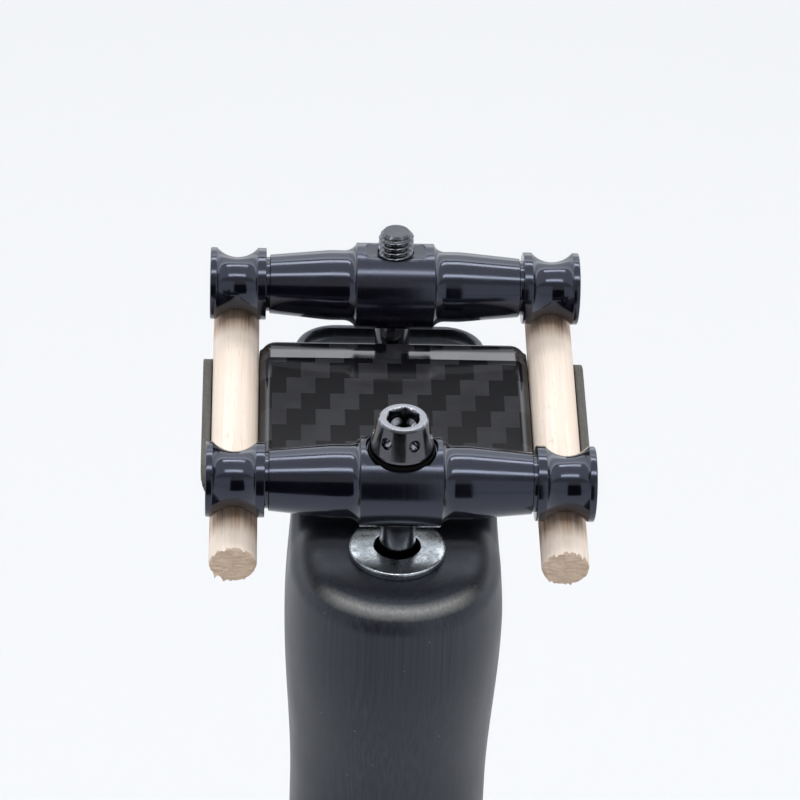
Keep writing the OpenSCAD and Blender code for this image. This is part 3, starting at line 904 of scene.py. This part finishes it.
def loft_field(x, y, z):
    """The tube that widens into the head; a superellipse at every height."""
    half_w = (TUBE_R + (HEAD_HALF - TUBE_R) * smooth_step(NECK_Z, WIDE_Z, z)
              - (HEAD_HALF - TOP_HALF) * smooth_step(WIDE_Z, ARM_Z, z))
    front = TUBE_R + FRONT_BULGE * smooth_step(NECK_Z, WIDE_Z, z)
    back = TUBE_R + (ARM_REACH - TUBE_R) * np.maximum(0, (z - NECK_Z) / (ARM_Z - NECK_Z)) ** 2.3
    behind = y > 0
    reach = np.where(behind, back, front)
    square_back = 2 + 2.5 * smooth_step(NECK_Z, ARM_Z, z)
    square_front = 2 + 0.1 * smooth_step(NECK_Z, WIDE_Z, z)
    power = np.where(behind, square_back, square_front)
    ring = ((np.abs(x) / half_w) ** power + (np.abs(y) / reach) ** power + 1e-12) ** (1 / power)
    radius = np.hypot(x, y)
    return radius * (1 - 1 / np.maximum(ring, 1e-6))


def slab_field(x, y, z):
    """The rear ledge, in the rear bolt's frame."""
    half_w, front, back, corner = 13.6, -15.0, 10.6, 6.0
    plan = box_field(x, y - (front + back) / 2, half_w, (back - front) / 2, corner)
    middle = REAR_LEDGE - SLAB_T / 2
    return round_max(plan, np.abs(z - middle) - SLAB_T / 2, 1.0)


def dish_field(x, y, z):
    """The shallow dish in the rear ledge, inside a rim, in the rear bolt's frame."""
    half_x, front, back, corner, deep = 12.3, -4.2, 9.3, 4.7, 1.6
    plan = box_field(x, y - (front + back) / 2, half_x, (back - front) / 2, corner)
    return round_max(plan, REAR_LEDGE - deep - z, 0.6)


def post_field(p):
    """The head with its ledges, round top, bore, holes and the pocket for the rear bolt's head."""
    x, y, z = p[..., 0], p[..., 1], p[..., 2]
    spot_r, bolt_hole_r, slot_r, slot_half, pocket_r = 7.6, 3.7, 2.9, 1.2, 6.3
    front_x, front_y, front_z = along_frame(p, FRONT_BOLT)
    rear_x, rear_y, rear_z = along_frame(p, REAR_BOLT)
    loft = loft_field(x, y, z)
    ledge = front_z - FRONT_LEDGE
    hump = np.hypot(y - TILT_AXIS.y, z - TILT_AXIS.z) - HUMP_R
    body = round_max(loft, round_min(ledge, hump, 1.2), EDGE_R)
    body = round_min(body, slab_field(rear_x, rear_y, rear_z), 1.5)
    front_off = np.hypot(front_x, front_y)
    spot = np.maximum(front_off - spot_r, FRONT_LEDGE - front_z)
    bore = np.maximum(np.hypot(x, y) - BORE_R, z - NUT_AXIS.z - 4.7)
    bolt_hole = np.maximum(front_off - bolt_hole_r, FRONT_LEDGE - 14 - front_z)
    slot_hole = np.hypot(rear_x, np.maximum(np.abs(rear_y) - slot_half, 0)) - slot_r
    slot_hole = np.maximum(slot_hole, SLAB_UNDER - 3 - rear_z)
    pocket = np.maximum(np.hypot(rear_x, rear_y) - pocket_r, rear_z - REAR_LEDGE + SLAB_T)
    pocket = np.maximum(pocket, SLAB_UNDER - 14 - rear_z)
    body = np.maximum(body, -spot)
    dish = np.maximum(dish_field(rear_x, rear_y, rear_z), rear_z - REAR_LEDGE - 0.4)
    body = round_max(body, -dish, 0.35)
    body = round_max(body, -bolt_hole, 0.25)
    body = round_max(body, -slot_hole, 0.25)
    body = round_max(body, -pocket, 0.3)
    return np.maximum(body, -bore)


def post():
    """The head over its field, cut off square and carried on down as a plain tube."""
    low, high = (-16.6, -18.6, JOIN_Z - 1.5), (16.6, 45, 262)
    points, quads = surface(post_field, low, high, 0.4)
    mesh = bpy.data.meshes.new("post_head")
    mesh.from_pydata(points.tolist(), [], quads.tolist())
    bm = bmesh.new()
    bm.from_mesh(mesh)
    bpy.data.meshes.remove(mesh)
    everything = bm.verts[:] + bm.edges[:] + bm.faces[:]
    bmesh.ops.bisect_plane(bm, geom=everything, dist=1e-5, plane_co=(0, 0, JOIN_Z), plane_no=(0, 0, -1),
                           clear_outer=True)
    rim = [e for e in bm.edges if e.is_boundary]
    tube_top = JOIN_Z - 1
    corners = [(TUBE_R, tube_top, 0), (TUBE_R, 0, 0.4), (BORE_R, 0, 0.3), (BORE_R, tube_top, 0)]
    tube = rounded(corners, steps=4)
    levels = [tube_top - 20 * k for k in range(1, 10)]
    split = len(tube) // 2
    outline = ([tube[0]] + [(TUBE_R, z) for z in levels] + tube[1:split] + tube[split:-1]
               + [(BORE_R, z) for z in reversed(levels)] + [tube[-1]])
    before = set(bm.edges)
    lathe(bm, outline)
    ends = [e for e in bm.edges if e not in before and e.is_boundary]

    def one_side(edges, wanted):
        """The edges outside the middle of the tube's wall, or those inside it."""
        middle = (TUBE_R + BORE_R) / 2
        return [e for e in edges if (e.verts[0].co.xy.length > middle) == wanted]

    for wanted in (True, False):
        bmesh.ops.bridge_loops(bm, edges=one_side(rim, wanted) + one_side(ends, wanted))
    obj = new_object("post_moulding", bm)
    piece(obj, WORLD, "head", ["post"], [POST_CARBON], smooth=50)


post()

# ---- CAD nodes that stay, inside the head ----

for node_name, material in (("nut_carrier", ALLOY), ("barrel_nut", TITANIUM)):
    node_object = frame["nodes"][node_name]
    node_object.data.materials.clear()
    node_object.data.materials.append(material)


# ---- Studio ----

def area_light(name, place, target, size_x, size_y, power):
    data = bpy.data.lights.new(name, "AREA")
    data.shape = "RECTANGLE"
    data.size, data.size_y = size_x, size_y
    data.energy = power
    obj = bpy.data.objects.new(name, data)
    obj.location = place
    obj.rotation_euler = (Vector(target) - Vector(place)).to_track_quat("-Z", "Y").to_euler()
    bpy.context.collection.objects.link(obj)


def strip_lamps():
    """Two long strips over the object, one leaning to the back and one to the front."""
    reach, length, width, power = 1.9, 2.6, 0.27, 15.5
    for name, slant in (("strip_back", -20), ("strip_front", 27.5)):
        spot = rail_middle + Vector((0, -reach * sin(radians(slant)), reach * cos(radians(slant))))
        area_light(name, spot, rail_middle, length, width, power)


def floor_disc():
    """A plain pale floor that the post stands on."""
    bm = bmesh.new()
    bmesh.ops.create_circle(bm, cap_ends=True, segments=128, radius=5.0)
    obj = new_object("floor", bm)
    p = Paint("floor_paper", Roughness=0.9, Specular_IOR_Level=0.1)
    cloud = p.noise((0.002, 0.002, 0.002), 2.0)
    p.drive("Base Color", p.mix(cloud, grey(0.562, 0.562, 0.567), grey(0.572, 0.572, 0.577)))
    obj.data.materials.append(p.material)


def card(name, corners, tone):
    """A plain card that only reflections see."""
    bm = bmesh.new()
    bm.faces.new([bm.verts.new(c) for c in corners])
    obj = new_object(name, bm)
    obj.data.materials.append(Paint(name, Base_Color=tone, Roughness=1.0, Specular_IOR_Level=0.0).material)
    obj.visible_camera = False
    obj.visible_diffuse = False
    obj.visible_shadow = False


def dark_cards():
    """Two cards in front, one black and one grey-brown, which the polished pieces mirror."""
    left, right, away = -0.40, 0.085, -0.42
    low, split, high = 0.085, 0.43, 0.66
    tones = (("card_low", low, split, grey(0.001)), ("card_high", split, high, grey(0.34, 0.31, 0.28)))
    for name, bottom, top, tone in tones:
        corners = [(left, away, bottom), (right, away, bottom), (right, away, top), (left, away, top)]
        card(name, corners, tone)


def world_light():
    """A pale surround in bands from front to back. Seen directly it is plain."""
    world = bpy.data.worlds.new("studio")
    world.use_nodes = True
    tree = world.node_tree
    links = tree.links
    tint = (0.94, 0.965, 1.0)
    direction = tree.nodes.new("ShaderNodeTexCoord").outputs["Generated"]
    split = tree.nodes.new("ShaderNodeSeparateXYZ")
    links.new(direction, split.inputs[0])
    angle = tree.nodes.new("ShaderNodeMath")
    angle.operation = "ARCTAN2"
    links.new(split.outputs["Y"], angle.inputs[0])
    links.new(split.outputs["Z"], angle.inputs[1])
    share = tree.nodes.new("ShaderNodeMapRange")
    share.inputs["From Min"].default_value = -pi
    share.inputs["From Max"].default_value = pi
    links.new(angle.outputs[0], share.inputs["Value"])
    ramp = tree.nodes.new("ShaderNodeValToRGB")
    links.new(share.outputs["Result"], ramp.inputs["Fac"])
    # Degrees from straight above towards the back, and the surround's brightness there.
    stops = ((-95, 0.9), (-57, 0.85), (-53, 0.45), (-38, 0.45), (-34, 1.1), (10, 1.1), (15, 0.9),
             (23.5, 1.5), (26.7, 0.03), (30, 0.03), (32, 3.4), (37, 3.4), (42, 1.9), (52, 1.6),
             (62, 1.2), (68, 2.2), (78, 2.2), (84, 1.0), (95, 1.0))
    elements = ramp.color_ramp.elements
    elements.remove(elements[1])
    elements[0].position = 0.0
    top = 4.0
    elements[0].color = (*[c / top for c in tint], 1.0)
    for degrees, bright in stops:
        elements.new(0.5 + degrees / 360).color = (*[c * bright / top for c in tint], 1.0)
    lamp = tree.nodes["Background"]
    lamp.inputs["Strength"].default_value = top
    links.new(ramp.outputs["Color"], lamp.inputs["Color"])
    # The bands only light the object and show in its gloss; what the camera sees past it is plain.
    backdrop = tree.nodes.new("ShaderNodeBackground")
    backdrop.inputs["Color"].default_value = (*tint, 1.0)
    choose = tree.nodes.new("ShaderNodeMixShader")
    links.new(tree.nodes.new("ShaderNodeLightPath").outputs["Is Camera Ray"], choose.inputs[0])
    links.new(lamp.outputs["Background"], choose.inputs[1])
    links.new(backdrop.outputs["Background"], choose.inputs[2])
    links.new(choose.outputs["Shader"], tree.nodes["World Output"].inputs["Surface"])
    bpy.context.scene.world = world


floor_disc()
dark_cards()
world_light()
strip_lamps()


def camera():
    """The camera, by its angles about a point near the middle of the clamp."""
    elevation, azimuth, roll = radians(26.72), radians(-2.95), radians(2.19)
    distance, lens = 0.4758, 155.5
    target = rail_middle + Vector((0.64, 1.04, 2.13)) * MM
    away = Vector((sin(azimuth) * cos(elevation), -cos(azimuth) * cos(elevation), sin(elevation)))
    right = (-away).cross(Vector((0, 0, 1))).normalized()
    up = away.cross(right)
    turned_right = right * cos(roll) + up * sin(roll)
    turned_up = up * cos(roll) - right * sin(roll)
    data = bpy.data.cameras.new("camera")
    data.lens = lens
    data.clip_start = 0.01
    obj = bpy.data.objects.new("camera", data)
    turn = Matrix((turned_right, turned_up, away)).transposed().to_4x4()
    obj.matrix_world = Matrix.Translation(target + away * distance) @ turn
    bpy.context.collection.objects.link(obj)
    bpy.context.scene.camera = obj


camera()
bpy.context.scene.view_settings.view_transform = "Standard"
